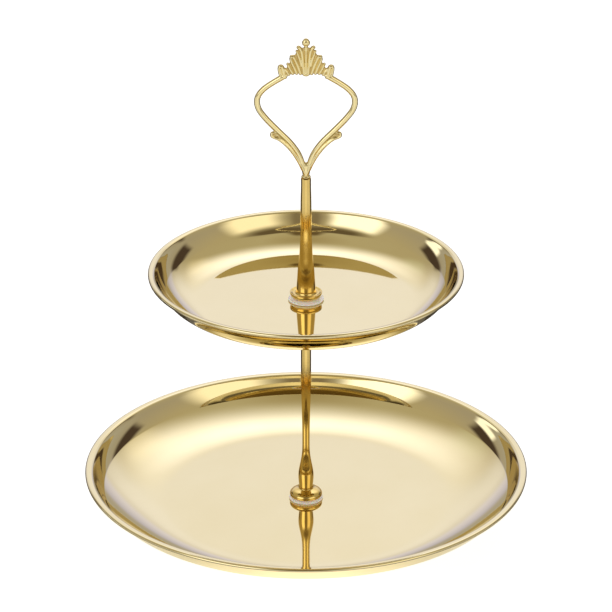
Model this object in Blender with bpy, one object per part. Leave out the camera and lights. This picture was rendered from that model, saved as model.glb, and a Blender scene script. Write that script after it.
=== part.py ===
"""Two-tier cake stand: two mirror-finished dishes on a screwed centre stem with a crown loop handle.

Frame: +Z up, origin on the table under the stem's axis, the loop lies in the XZ plane.
Lengths are metres; MM turns the millimetre figures below into metres.
"""
import math

import bmesh
import bpy
from mathutils import Matrix, Vector

MM = 0.001

# Driving dimensions
GAP = 0.3 * MM               # clearance that touching pieces keep
SHEET = 0.8 * MM             # plate metal thickness
TIER_SPACING = 122.7 * MM    # lower rim plane to upper rim plane
FOOT_HEIGHT = 5.6 * MM
FOOT_RADIUS = 6.0 * MM
FOOT_CIRCLE = 62.0 * MM      # radius that the feet stand on
FOOT_COUNT = 4

LOWER_RIM_RADIUS = 127.0 * MM
LOWER_DEPTH = 19.7 * MM      # rim plane to the floor's top
LOWER_FLAT_RADIUS = 80.0 * MM
LOWER_LIP_WIDTH = 5.4 * MM

UPPER_RIM_RADIUS = 88.9 * MM
UPPER_DEPTH = 17.0 * MM
UPPER_FLAT_RADIUS = 59.5 * MM
UPPER_LIP_WIDTH = 4.6 * MM

CREASE_DROP = 9.3 * MM       # rim plane to the crease between wall and floor curve
WALL_INSET = 5.3 * MM        # how far the steep wall leans in from the lip to the crease
BEAD_RADIUS = 1.2 * MM       # rolled edge
PLATE_HOLE = 3.2 * MM

THREAD_RADIUS = 2.4 * MM     # M5 threads, drawn plain
THREAD_BORE = THREAD_RADIUS + GAP
PIN_RADIUS = 1.3 * MM        # M3 stud between the column and the loop
PIN_BORE = PIN_RADIUS + GAP

GASKET_RADIUS = 10.1 * MM
GASKET_HOLE = 2.9 * MM
TOP_GASKET = 1.2 * MM        # gaskets that sit on a plate's floor
UNDER_GASKET = 1.0 * MM      # gaskets that sit under a plate
WASHER_RADIUS = 8.0 * MM
WASHER = 0.8 * MM
HEAD_RADIUS = 5.6 * MM
HEAD_HEIGHT = 2.2 * MM

ROD_RADIUS = 2.75 * MM
SHOULDER_RADIUS = 9.0 * MM
COLLAR_RADIUS = 9.2 * MM
COLUMN_FOOT = 5.5 * MM
COLUMN_TOP = 2.65 * MM
LOOP_THICKNESS = 3.2 * MM
LOOP_NECK = 2.25 * MM

PLATE_STEPS = 64
STEM_STEPS = 24
RING_STEPS = 32

# Heights that follow from them
LOWER_UNDERSIDE = FOOT_HEIGHT + GAP
LOWER_FLOOR = LOWER_UNDERSIDE + SHEET
LOWER_RIM = LOWER_FLOOR + LOWER_DEPTH
UPPER_RIM = LOWER_RIM + TIER_SPACING
UPPER_FLOOR = UPPER_RIM - UPPER_DEPTH
UPPER_UNDERSIDE = UPPER_FLOOR - SHEET
ROD_BOTTOM = LOWER_FLOOR + 2 * GAP + TOP_GASKET
ROD_TOP = UPPER_UNDERSIDE - 2 * GAP - UNDER_GASKET
COLUMN_BOTTOM = UPPER_FLOOR + 2 * GAP + TOP_GASKET
COLUMN_END = LOWER_RIM + 180.0 * MM
LOOP_BOTTOM = COLUMN_END + GAP
SCREW_HEAD_TOP = LOWER_UNDERSIDE - 3 * GAP - UNDER_GASKET - WASHER
SCREW_DEPTH = 9.0 * MM       # thread length inside the rod's foot
STUD_IN_ROD = 8.0 * MM
STUD_IN_COLUMN = 13.0 * MM
PIN_IN_COLUMN = 6.0 * MM
PIN_IN_LOOP = 5.0 * MM
BORE_CLEARANCE = 1.0 * MM    # spare depth past a thread's end


def clear_scene():
    for obj in list(bpy.data.objects):
        bpy.data.objects.remove(obj, do_unlink=True)


def principled(name, colour, roughness, metallic, alpha=1.0):
    material = bpy.data.materials.new(name)
    material.use_nodes = True
    shader = material.node_tree.nodes["Principled BSDF"]
    shader.inputs["Base Color"].default_value = (*colour, 1.0)
    shader.inputs["Roughness"].default_value = roughness
    shader.inputs["Metallic"].default_value = metallic
    shader.inputs["Alpha"].default_value = alpha
    return material


def link(name, mesh, material, origin=(0.0, 0.0, 0.0)):
    obj = bpy.data.objects.new(name, mesh)
    obj.location = origin
    mesh.materials.clear()
    mesh.materials.append(material)
    bpy.context.scene.collection.objects.link(obj)
    return obj


def smooth(mesh, angle=35.0):
    mesh.shade_smooth()
    mesh.set_sharp_from_angle(angle=math.radians(angle))


def arc(centre_r, centre_z, radius, start, end, count):
    """Points (r, z) along an arc, angles in degrees, both ends included."""
    points = []
    for i in range(count + 1):
        angle = math.radians(start + (end - start) * i / count)
        points.append((centre_r + radius * math.cos(angle), centre_z + radius * math.sin(angle)))
    return points


def turned(name, outline, material, steps=STEM_STEPS, origin=(0.0, 0.0, 0.0)):
    """A solid of revolution about Z through the origin given, from a closed outline of (r, z)."""
    mesh = bpy.data.meshes.new(name)
    bm = bmesh.new()
    verts = [bm.verts.new((r, 0.0, z)) for r, z in outline]
    edges = []
    for i, vert in enumerate(verts):
        following = verts[(i + 1) % len(verts)]
        if vert.co.x > 0.0 or following.co.x > 0.0:
            edges.append(bm.edges.new((vert, following)))
    bmesh.ops.spin(bm, geom=verts + edges, cent=(0, 0, 0), axis=(0, 0, 1), angle=2 * math.pi, steps=steps)
    bmesh.ops.remove_doubles(bm, verts=bm.verts, dist=0.002 * MM)
    bmesh.ops.recalc_face_normals(bm, faces=bm.faces)
    bm.to_mesh(mesh)
    bm.free()
    smooth(mesh)
    return link(name, mesh, material, origin)


def dish_outline(rim_radius, lip_width, depth, flat_radius):
    """Cross-section of a pressed dish, heights measured from its rim plane.

    From the hole: flat floor, rising floor curve, crease, steep wall, lip rolled over
    outwards into a bead, and back down the outside one sheet thickness away.
    """
    crease_r = rim_radius - lip_width - WALL_INSET
    run = crease_r - flat_radius
    rise = depth - CREASE_DROP
    curve_radius = (run * run + rise * rise) / (2 * rise)
    sweep = math.degrees(math.asin(run / curve_radius))
    centre_z = curve_radius - depth
    lip_r = rim_radius - lip_width
    bead_r = rim_radius - BEAD_RADIUS
    inside = arc(flat_radius, centre_z, curve_radius, -90, -90 + sweep, 4)
    outside = arc(flat_radius, centre_z, curve_radius + SHEET, -90 + sweep, -90, 4)
    bead = arc(bead_r, 0.0, BEAD_RADIUS, 90, -90, 6)
    lip = [(lip_r, -1.1 * MM), (lip_r + 1.0 * MM, 0.5 * MM), (lip_r + 2.2 * MM, 1.1 * MM)]
    under_lip = [(lip_r + 1.9 * MM, -0.2 * MM), (lip_r + 1.0 * MM, -1.4 * MM)]
    hole_top = [(PLATE_HOLE, -depth)]
    hole_bottom = [(PLATE_HOLE, -depth - SHEET)]
    return hole_top + inside + lip + bead + under_lip + outside + hole_bottom


def ring_outline(inner, outer, thickness):
    """Flat ring standing on z = 0 with slightly eased outer corners."""
    ease = 0.2 * thickness
    return [(inner, 0.0), (outer - ease, 0.0), (outer, ease),
            (outer, thickness - ease), (outer - ease, thickness), (inner, thickness)]


def rod_outline():
    """Lower stem: domed flange, bulb, slim shaft and the shoulder that carries the upper plate."""
    foot = [(0.0, ROD_BOTTOM + SCREW_DEPTH + BORE_CLEARANCE),
            (THREAD_BORE, ROD_BOTTOM + SCREW_DEPTH + BORE_CLEARANCE),
            (THREAD_BORE, ROD_BOTTOM)]
    flange = [(8.0 * MM, ROD_BOTTOM), (9.1 * MM, ROD_BOTTOM + 0.5 * MM)]
    dome = arc(4.2 * MM, ROD_BOTTOM + 1.0 * MM, 5.1 * MM, 0, 78, 5)
    base = ROD_BOTTOM
    bulb = [(4.15 * MM, base + 6.6 * MM), (4.3 * MM, base + 11.0 * MM), (4.15 * MM, base + 14.5 * MM),
            (3.65 * MM, base + 18.0 * MM), (3.05 * MM, base + 21.0 * MM), (2.65 * MM, base + 25.0 * MM),
            (2.5 * MM, base + 31.0 * MM), (2.6 * MM, base + 38.0 * MM), (ROD_RADIUS, base + 46.0 * MM)]
    bell_z = ROD_TOP - 2.6 * MM
    bell = [(ROD_RADIUS, ROD_TOP - 13.0 * MM), (4.6 * MM, ROD_TOP - 10.5 * MM),
            (4.7 * MM, ROD_TOP - 6.5 * MM), (6.2 * MM, ROD_TOP - 4.2 * MM),
            (SHOULDER_RADIUS, bell_z), (SHOULDER_RADIUS, ROD_TOP)]
    head = [(THREAD_BORE, ROD_TOP),
            (THREAD_BORE, ROD_TOP - STUD_IN_ROD - BORE_CLEARANCE),
            (0.0, ROD_TOP - STUD_IN_ROD - BORE_CLEARANCE)]
    return foot + flange + dome + bulb + bell + head


def column_radius(height):
    """Radius of the handle's column at a height, tapering in a long hollow curve."""
    start = COLUMN_BOTTOM + 4.0 * MM
    slim = LOWER_RIM + 170.0 * MM
    left = max(0.0, 1.0 - (height - start) / (slim - start))
    return COLUMN_TOP + (COLUMN_FOOT - COLUMN_TOP) * left ** 1.5


def column_outline():
    """Handle column: cupped collar, tapered shaft, flat top, with a thread bore in each end."""
    base = COLUMN_BOTTOM
    bore = [(0.0, base + STUD_IN_COLUMN + BORE_CLEARANCE),
            (THREAD_BORE, base + STUD_IN_COLUMN + BORE_CLEARANCE), (THREAD_BORE, base)]
    collar = [(7.2 * MM, base), (8.4 * MM, base + 0.8 * MM), (9.0 * MM, base + 2.0 * MM),
              (COLLAR_RADIUS, base + 3.1 * MM), (8.8 * MM, base + 3.5 * MM),
              (7.2 * MM, base + 3.0 * MM), (5.8 * MM, base + 3.2 * MM)]
    shaft = []
    stations = 10
    for i in range(stations + 1):
        height = base + 4.0 * MM + (COLUMN_END - base - 4.0 * MM) * i / stations
        shaft.append((column_radius(height), height))
    top = [(PIN_BORE, COLUMN_END), (PIN_BORE, COLUMN_END - PIN_IN_COLUMN - BORE_CLEARANCE),
           (0.0, COLUMN_END - PIN_IN_COLUMN - BORE_CLEARANCE)]
    return bore + collar + shaft + top


def smooth_path(points, steps=4):
    """Catmull-Rom curve through (x, z) points, returned with its end points."""
    path = []
    for i in range(len(points) - 1):
        before = Vector(points[max(i - 1, 0)])
        start = Vector(points[i])
        end = Vector(points[i + 1])
        after = Vector(points[min(i + 2, len(points) - 1)])
        for k in range(steps):
            t = k / steps
            a = 2 * start
            b = end - before
            c = 2 * before - 5 * start + 4 * end - after
            d = 3 * start - before - 3 * end + after
            path.append(tuple(0.5 * (a + b * t + c * t * t + d * t * t * t)))
    path.append(tuple(points[-1]))
    return path


def loop_half_outlines():
    """Right half of the loop's outer outline and of its opening, in millimetres above LOWER_RIM."""
    stem = [(2.25, 180.3), (2.75, 183.6), (3.5, 187.0), (4.9, 191.0), (7.2, 195.5), (10.4, 199.8)]
    leaf = [(13.5, 202.1), (17.5, 203.0), (19.5, 204.6), (19.6, 206.6), (18.6, 207.6)]
    arm = [(19.2, 208.7), (22.2, 212.1), (25.2, 215.8), (27.6, 219.4), (28.8, 223.4),
           (28.5, 227.6), (26.5, 231.6), (22.9, 235.6), (18.4, 238.8), (15.8, 240.8)]
    crown = [(15.6, 243.5), (16.0, 246.6), (13.6, 247.4), (12.2, 245.9), (10.9, 248.2), (9.4, 248.4),
             (9.4, 251.2), (7.6, 251.7), (6.9, 253.9), (5.5, 253.6), (5.2, 256.3), (3.6, 256.6),
             (1.9, 256.2), (1.6, 257.9), (2.7, 259.6), (1.9, 261.5), (0.0, 262.3)]
    opening = [(0.0, 189.4), (1.7, 192.3), (3.3, 195.9), (5.7, 199.6), (8.9, 203.3), (13.9, 208.6),
               (18.0, 212.4), (22.0, 217.4), (24.6, 221.2), (25.3, 224.9), (24.7, 228.4),
               (22.3, 231.7), (17.5, 235.1), (12.6, 238.2), (9.4, 240.6)]
    crown_bottom = [(8.0, 241.7), (4.6, 242.2), (2.0, 241.0), (0.0, 240.4)]
    outer = smooth_path(stem + leaf, 2) + smooth_path(arm, 2) + crown
    inner = smooth_path(opening, 2) + smooth_path(crown_bottom, 2)[1:]
    return outer, inner


def mirrored(half, closed_at_axis):
    """Whole outline from its right half; points on the axis are used once."""
    left = [(-x, z) for x, z in reversed(half)]
    if closed_at_axis:
        left = left[1:-1]
    else:
        left = left[1:]
    return list(half) + left


def crown_loop(material):
    """The cast loop: a flat casting with its opening, a round foot under it and the stud's bore."""
    outer_half, inner_half = loop_half_outlines()
    outlines = [mirrored(outer_half, False), mirrored(inner_half, True)]
    curve = bpy.data.curves.new("loop_outline", "CURVE")
    curve.dimensions = "2D"
    curve.fill_mode = "BOTH"
    bevel = 0.5 * MM
    curve.extrude = LOOP_THICKNESS / 2 - bevel
    curve.bevel_depth = bevel
    curve.bevel_resolution = 0
    curve.offset = -bevel
    for outline in outlines:
        spline = curve.splines.new("POLY")
        spline.points.add(len(outline) - 1)
        for point, (x, z) in zip(spline.points, outline):
            point.co = (x * MM, z * MM, 0.0, 1.0)
        spline.use_cyclic_u = True
    flat = bpy.data.objects.new("loop_outline", curve)
    bpy.context.scene.collection.objects.link(flat)
    depsgraph = bpy.context.evaluated_depsgraph_get()
    mesh = bpy.data.meshes.new_from_object(flat.evaluated_get(depsgraph))
    bpy.data.objects.remove(flat, do_unlink=True)
    mesh.name = "crown_loop"
    bm = bmesh.new()
    bm.from_mesh(mesh)
    upright = Matrix.Translation((0, 0, LOWER_RIM)) @ Matrix.Rotation(math.radians(90), 4, "X")
    bmesh.ops.transform(bm, matrix=upright, verts=bm.verts)
    bmesh.ops.remove_doubles(bm, verts=bm.verts, dist=0.002 * MM)
    bmesh.ops.recalc_face_normals(bm, faces=bm.faces)
    bm.to_mesh(mesh)
    bm.free()
    smooth(mesh)
    loop = link("crown_loop", mesh, material)

    foot = [(0.0, LOOP_BOTTOM), (LOOP_NECK, LOOP_BOTTOM), (2.5 * MM, LOOP_BOTTOM + 2.0 * MM),
            (2.6 * MM, LOOP_BOTTOM + 5.0 * MM), (2.1 * MM, LOOP_BOTTOM + 8.0 * MM),
            (0.0, LOOP_BOTTOM + 9.0 * MM)]
    bore = [(0.0, LOOP_BOTTOM - 2.0 * MM), (PIN_BORE, LOOP_BOTTOM - 2.0 * MM),
            (PIN_BORE, LOOP_BOTTOM + PIN_IN_LOOP + BORE_CLEARANCE),
            (0.0, LOOP_BOTTOM + PIN_IN_LOOP + BORE_CLEARANCE)]
    for name, outline, operation in (("loop_foot", foot, "UNION"), ("loop_bore", bore, "DIFFERENCE")):
        tool = turned(name, outline, material, STEM_STEPS)
        tool.hide_render = True
        tool.display_type = "WIRE"
        boolean = loop.modifiers.new(name, "BOOLEAN")
        boolean.operation = operation
        boolean.object = tool
    return loop


def plates(metal):
    lower = dish_outline(LOWER_RIM_RADIUS, LOWER_LIP_WIDTH, LOWER_DEPTH, LOWER_FLAT_RADIUS)
    upper = dish_outline(UPPER_RIM_RADIUS, UPPER_LIP_WIDTH, UPPER_DEPTH, UPPER_FLAT_RADIUS)
    turned("lower_plate", lower, metal, PLATE_STEPS, (0, 0, LOWER_RIM))
    turned("upper_plate", upper, metal, PLATE_STEPS, (0, 0, UPPER_RIM))


def feet(rubber):
    ease = 0.8 * MM
    outline = [(0.0, 0.0), (FOOT_RADIUS - 2 * ease, 0.0), (FOOT_RADIUS - ease, 0.5 * ease),
               (FOOT_RADIUS - 0.4 * ease, 0.5 * FOOT_HEIGHT), (FOOT_RADIUS, FOOT_HEIGHT),
               (0.0, FOOT_HEIGHT)]
    for i in range(FOOT_COUNT):
        angle = 2 * math.pi * (i + 0.5) / FOOT_COUNT
        place = (FOOT_CIRCLE * math.cos(angle), FOOT_CIRCLE * math.sin(angle), 0.0)
        turned(f"foot_{i + 1}", outline, rubber, 20, place)


def gaskets(plastic):
    upper_side = ring_outline(GASKET_HOLE, GASKET_RADIUS, TOP_GASKET)
    under_side = ring_outline(GASKET_HOLE, GASKET_RADIUS, UNDER_GASKET)
    under_drop = GAP + UNDER_GASKET
    turned("lower_gasket_top", upper_side, plastic, RING_STEPS, (0, 0, LOWER_FLOOR + GAP))
    turned("lower_gasket_bottom", under_side, plastic, RING_STEPS, (0, 0, LOWER_UNDERSIDE - under_drop))
    turned("upper_gasket_top", upper_side, plastic, RING_STEPS, (0, 0, UPPER_FLOOR + GAP))
    turned("upper_gasket_bottom", under_side, plastic, RING_STEPS, (0, 0, UPPER_UNDERSIDE - under_drop))


def fasteners(steel):
    washer = ring_outline(GASKET_HOLE, WASHER_RADIUS, WASHER)
    turned("bottom_washer", washer, steel, RING_STEPS, (0, 0, SCREW_HEAD_TOP + GAP))

    tip = 0.6 * MM
    head = [(0.0, SCREW_HEAD_TOP - HEAD_HEIGHT + 1.2 * MM), (1.3 * MM, SCREW_HEAD_TOP - HEAD_HEIGHT + 1.2 * MM),
            (1.5 * MM, SCREW_HEAD_TOP - HEAD_HEIGHT), (3.4 * MM, SCREW_HEAD_TOP - HEAD_HEIGHT),
            (5.0 * MM, SCREW_HEAD_TOP - 1.3 * MM), (HEAD_RADIUS, SCREW_HEAD_TOP - 0.4 * MM),
            (HEAD_RADIUS, SCREW_HEAD_TOP)]
    shank_end = ROD_BOTTOM + SCREW_DEPTH
    shank = [(THREAD_RADIUS, SCREW_HEAD_TOP), (THREAD_RADIUS, shank_end - tip),
             (THREAD_RADIUS - tip, shank_end), (0.0, shank_end)]
    turned("bottom_screw", head + shank, steel, STEM_STEPS)

    stud_low = ROD_TOP - STUD_IN_ROD
    stud_high = COLUMN_BOTTOM + STUD_IN_COLUMN
    stud = [(0.0, stud_low), (THREAD_RADIUS - tip, stud_low), (THREAD_RADIUS, stud_low + tip),
            (THREAD_RADIUS, stud_high - tip), (THREAD_RADIUS - tip, stud_high), (0.0, stud_high)]
    turned("rod_stud", stud, steel, STEM_STEPS)

    pin_low = COLUMN_END - PIN_IN_COLUMN
    pin_high = LOOP_BOTTOM + PIN_IN_LOOP
    pin = [(0.0, pin_low), (PIN_RADIUS, pin_low), (PIN_RADIUS, pin_high), (0.0, pin_high)]
    turned("loop_stud", pin, steel, 16)


def main():
    clear_scene()
    plate_gold = principled("plate_gold", (0.90, 0.76, 0.42), 0.08, 1.0)
    cast_gold = principled("cast_gold", (0.86, 0.64, 0.20), 0.18, 1.0)
    steel = principled("plated_steel", (0.80, 0.66, 0.34), 0.3, 1.0)
    milky = principled("milky_plastic", (0.90, 0.89, 0.86), 0.45, 0.0, 0.85)
    clear = principled("clear_rubber", (0.85, 0.86, 0.86), 0.35, 0.0, 0.6)
    plates(plate_gold)
    turned("lower_rod", rod_outline(), cast_gold)
    turned("handle_column", column_outline(), cast_gold)
    crown_loop(cast_gold)
    fasteners(steel)
    gaskets(milky)
    feet(clear)


main()
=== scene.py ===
"""Looks of the two-tier cake stand: mirror-finished dishes, screwed stem and cast crown loop.

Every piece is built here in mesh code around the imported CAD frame, in metres; MM turns
millimetres into metres. Heights of the turned pieces come from the CAD nodes' own boxes.
Profiles are lists of (radius, height) that are turned about the stem's axis.
"""
import math

import bmesh
import bpy
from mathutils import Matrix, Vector


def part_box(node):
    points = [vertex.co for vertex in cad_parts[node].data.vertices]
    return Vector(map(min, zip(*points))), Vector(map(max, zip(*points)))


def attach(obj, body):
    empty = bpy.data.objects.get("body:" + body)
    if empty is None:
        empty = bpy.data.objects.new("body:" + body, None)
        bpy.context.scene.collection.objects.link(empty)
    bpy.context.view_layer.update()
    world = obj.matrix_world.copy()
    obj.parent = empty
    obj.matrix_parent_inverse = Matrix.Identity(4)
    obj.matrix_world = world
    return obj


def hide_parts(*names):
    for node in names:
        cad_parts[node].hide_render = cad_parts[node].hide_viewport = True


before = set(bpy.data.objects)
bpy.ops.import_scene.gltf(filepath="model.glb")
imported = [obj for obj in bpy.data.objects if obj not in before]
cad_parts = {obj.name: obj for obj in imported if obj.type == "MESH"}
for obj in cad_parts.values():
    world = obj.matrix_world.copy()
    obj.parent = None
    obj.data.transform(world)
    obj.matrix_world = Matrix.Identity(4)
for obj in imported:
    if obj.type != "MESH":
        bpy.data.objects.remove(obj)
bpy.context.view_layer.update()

MM = 0.001
TAU = 2 * math.pi
ON_AXIS = 1e-7               # radius below which a profile point lies on the stem's axis

# Sizes shared with the CAD part
SHEET = 0.8 * MM
WALL_INSET = 5.3 * MM
CREASE_DROP = 9.3 * MM
BEAD_RADIUS = 1.2 * MM
WALL_SWEEP = 18.0            # degrees that the wall steepens from the crease to the lip
PLATE_HOLE = 3.2 * MM
LOWER_DISH = {"rim": 127.0 * MM, "lip": 5.4 * MM, "depth": 19.7 * MM, "flat": 80.0 * MM}
UPPER_DISH = {"rim": 88.9 * MM, "lip": 4.6 * MM, "depth": 17.0 * MM, "flat": 59.5 * MM}
GASKET_RADIUS = 10.1 * MM
GASKET_HOLE = 2.9 * MM
WASHER_RADIUS = 8.0 * MM
THREAD_RADIUS = 2.4 * MM
THREAD_BORE = 2.7 * MM
THREAD_PITCH = 0.8 * MM
THREAD_DEPTH = 0.42 * MM
PIN_RADIUS = 1.3 * MM
PIN_BORE = 1.6 * MM
PIN_PITCH = 0.5 * MM
PIN_THREAD = 0.24 * MM
HEAD_RADIUS = 5.6 * MM
HEAD_HEIGHT = 2.2 * MM

# Sizes that only the looks and the studio have
BROKEN_EDGE = 0.15 * MM      # at the plates' holes and the column's tip
BEVEL = 0.3 * MM             # at a bore's mouth and round the column's tip
CROWN_TIP = 262.3 * MM       # height of the crown's tip above the casting's own zero
CROWN_VOXEL = 0.21 * MM      # size of the remesh that fuses the casting
FLOOR_RADIUS = 7.0
FLOOR_DROP = 0.4 * MM        # floor's level below the feet

# Steps around each kind of turned piece
DISH_STEPS = 288
STEM_STEPS = 96
SCREW_STEPS = 48
STUD_STEPS = 36
BUMPER_STEPS = 48

# Angles in degrees past which an edge stays sharp
DISH_EDGE = 40.0
STEM_EDGE = 38.0
SCREW_EDGE = 35.0
SMALL_EDGE = 50.0

# Camera, fitted to the photograph's view
CAMERA_PLACE = (0.0, -1.9173, 0.9910)
CAMERA_DOWN = 24.23          # degrees below level
CAMERA_LENS = 219.0          # millimetres, for the sensor's width
CAMERA_SENSOR = 36.0


# ---------------------------------------------------------------- profiles

def heights(node):
    """Lowest and highest level of a CAD node at rest."""
    low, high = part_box(node)
    return low[2], high[2]


def at_height(level, *points):
    """Profile points given in millimetres, with their heights measured from the level."""
    return [(r * MM, level + z * MM) for r, z in points]


def arc(centre_r, centre_z, radius, start, end, count, rise=None):
    """Points along an arc, angles in degrees, both ends included. A rise makes it an oval."""
    up = radius if rise is None else rise
    points = []
    for i in range(count + 1):
        angle = math.radians(start + (end - start) * i / count)
        points.append((centre_r + radius * math.cos(angle), centre_z + up * math.sin(angle)))
    return points


def resampled(points, spacing):
    """The open polyline cut into equal steps of about the spacing."""
    lengths = [0.0]
    for a, b in zip(points, points[1:]):
        lengths.append(lengths[-1] + math.dist(a, b))
    count = max(2, round(lengths[-1] / spacing))
    result = []
    k = 0
    for i in range(count + 1):
        target = lengths[-1] * i / count
        while k < len(points) - 2 and lengths[k + 1] < target:
            k += 1
        span = max(lengths[k + 1] - lengths[k], 1e-12)
        t = min(1.0, max(0.0, (target - lengths[k]) / span))
        result.append(tuple(p + (q - p) * t for p, q in zip(points[k], points[k + 1])))
    return result


def softened(points, radius, spacing=0.12 * MM, turn=1.6, longest=3.0 * MM):
    """The open profile with its corners eased, thinned to points a few degrees apart."""
    fine = resampled(points, spacing)
    reach = max(1, round(radius / spacing))
    weights = [math.exp(-2.0 * (k / reach) ** 2) for k in range(-reach, reach + 1)]
    last = len(fine) - 1
    eased = []
    for i in range(len(fine)):
        room = min(i, last - i, reach)
        total = 0.0
        place = [0.0] * len(fine[0])
        for k in range(-room, room + 1):
            weight = weights[k + reach]
            total += weight
            for axis, value in enumerate(fine[i + k]):
                place[axis] += weight * value
        eased.append(tuple(value / total for value in place))
    kept = [eased[0]]
    bend = 0.0
    run = 0.0
    for before, here, after in zip(eased, eased[1:], eased[2:]):
        a = Vector(here) - Vector(before)
        b = Vector(after) - Vector(here)
        bend += math.degrees(a.angle(b, 0.0))
        run += a.length
        if bend >= turn or run >= longest:
            kept.append(here)
            bend = 0.0
            run = 0.0
    kept.append(eased[-1])
    return kept


def hollow(start, end, sweep, count=24):
    """Arc from start to end that steepens by sweep degrees on the way up."""
    chord = math.dist(start, end)
    heading = math.atan2(end[1] - start[1], end[0] - start[0])
    half = math.radians(sweep) / 2
    radius = chord / (2 * math.sin(half))
    points = []
    for i in range(count + 1):
        turn = half * (2 * i / count - 1)
        along = radius * (math.sin(turn) + math.sin(half))
        aside = radius * (math.cos(turn) - math.cos(half))
        points.append((start[0] + along * math.cos(heading) + aside * math.sin(heading),
                       start[1] + along * math.sin(heading) - aside * math.cos(heading)))
    return points


def spline(points, steps=8):
    """Catmull-Rom curve through tuples of any length, end points included."""
    path = []
    for i in range(len(points) - 1):
        before = points[max(i - 1, 0)]
        start = points[i]
        end = points[i + 1]
        after = points[min(i + 2, len(points) - 1)]
        for k in range(steps):
            t = k / steps
            path.append(tuple(
                0.5 * (2 * q + (r - p) * t + (2 * p - 5 * q + 4 * r - s) * t * t
                       + (3 * q - p - 3 * r + s) * t * t * t)
                for p, q, r, s in zip(before, start, end, after)))
    path.append(tuple(points[-1]))
    return path


# ---------------------------------------------------------------- meshes

def lathe(bm, outline, steps, radius_at=None):
    """Closed solid of revolution from a profile that starts and ends on the axis, or that
    closes on itself. radius_at(r, z, angle) may move a point in or out."""
    on_axis = outline[0][0] < ON_AXIS and outline[-1][0] < ON_AXIS
    rings = []
    for r, z in outline:
        if r < ON_AXIS:
            rings.append([bm.verts.new((0.0, 0.0, z))])
            continue
        ring = []
        for k in range(steps):
            angle = TAU * k / steps
            radius = radius_at(r, z, angle) if radius_at else r
            ring.append(bm.verts.new((radius * math.cos(angle), radius * math.sin(angle), z)))
        rings.append(ring)
    pairs = list(zip(rings, rings[1:]))
    if not on_axis:
        pairs.append((rings[-1], rings[0]))
    for low, high in pairs:
        if len(low) == 1 and len(high) == 1:
            continue
        for k in range(steps):
            n = (k + 1) % steps
            if len(low) == 1:
                bm.faces.new((low[0], high[n], high[k]))
            elif len(high) == 1:
                bm.faces.new((low[k], low[n], high[0]))
            else:
                bm.faces.new((low[k], low[n], high[n], high[k]))


def tube(bm, path, sides):
    """Closed tube along path points (x, y, z, half_width, half_depth); it lies in the XZ plane,
    with half_depth along Y, and its ends are domed."""
    stations = []
    for index, point in enumerate(path):
        before = path[max(index - 1, 0)]
        after = path[min(index + 1, len(path) - 1)]
        along = Vector((after[0] - before[0], 0.0, after[2] - before[2])).normalized()
        stations.append((Vector(point[:3]), along, point[3], point[4]))
    dome_rings = 4
    head = []
    tail = []
    for k in range(1, dome_rings + 1):
        angle = math.radians(90.0 * k / dome_rings)
        shrink = max(math.cos(angle), 0.02)      # the last ring stays open, for its end face
        place, along, width, depth = stations[0]
        head.append((place - along * width * math.sin(angle), along, width * shrink, depth * shrink))
        place, along, width, depth = stations[-1]
        tail.append((place + along * width * math.sin(angle), along, width * shrink, depth * shrink))
    stations = list(reversed(head)) + stations + tail
    rings = []
    for place, along, width, depth in stations:
        across = Vector((-along.z, 0.0, along.x))
        ring = []
        for k in range(sides):
            angle = TAU * k / sides
            outward = across * (width * math.cos(angle))
            ring.append(bm.verts.new(place + outward + Vector((0.0, depth * math.sin(angle), 0.0))))
        rings.append(ring)
    for low, high in zip(rings, rings[1:]):
        for k in range(sides):
            n = (k + 1) % sides
            bm.faces.new((low[k], low[n], high[n], high[k]))
    bm.faces.new(rings[0])
    bm.faces.new(rings[-1])


def ball(bm, centre, radii, rings=10, sides=16):
    """Closed ellipsoid."""
    grid = []
    for j in range(1, rings):
        polar = math.pi * j / rings
        grid.append([bm.verts.new((
            centre[0] + radii[0] * math.sin(polar) * math.cos(TAU * k / sides),
            centre[1] + radii[1] * math.sin(polar) * math.sin(TAU * k / sides),
            centre[2] + radii[2] * math.cos(polar))) for k in range(sides)])
    top = bm.verts.new((centre[0], centre[1], centre[2] + radii[2]))
    bottom = bm.verts.new((centre[0], centre[1], centre[2] - radii[2]))
    for low, high in zip(grid, grid[1:]):
        for k in range(sides):
            n = (k + 1) % sides
            bm.faces.new((low[k], low[n], high[n], high[k]))
    for k in range(sides):
        n = (k + 1) % sides
        bm.faces.new((top, grid[0][n], grid[0][k]))
        bm.faces.new((bottom, grid[-1][k], grid[-1][n]))


def finished_mesh(name, bm, sharp=None):
    """Mesh made from the bmesh, smooth except at edges past the sharp angle in degrees."""
    bmesh.ops.recalc_face_normals(bm, faces=bm.faces)
    mesh = bpy.data.meshes.new(name)
    bm.to_mesh(mesh)
    bm.free()
    mesh.shade_smooth()
    if sharp:
        mesh.set_sharp_from_angle(angle=math.radians(sharp))
    return mesh


def piece(name, mesh, material, body, slot, *nodes):
    """A visible piece: rides on its body, takes the material given and stands for CAD nodes. Its slot is
    not used.
    """
    obj = bpy.data.objects.new(name, mesh)
    bpy.context.scene.collection.objects.link(obj)
    mesh.materials.append(material)
    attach(obj, body)
    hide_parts(*nodes)
    return obj


# ---------------------------------------------------------------- materials

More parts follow.
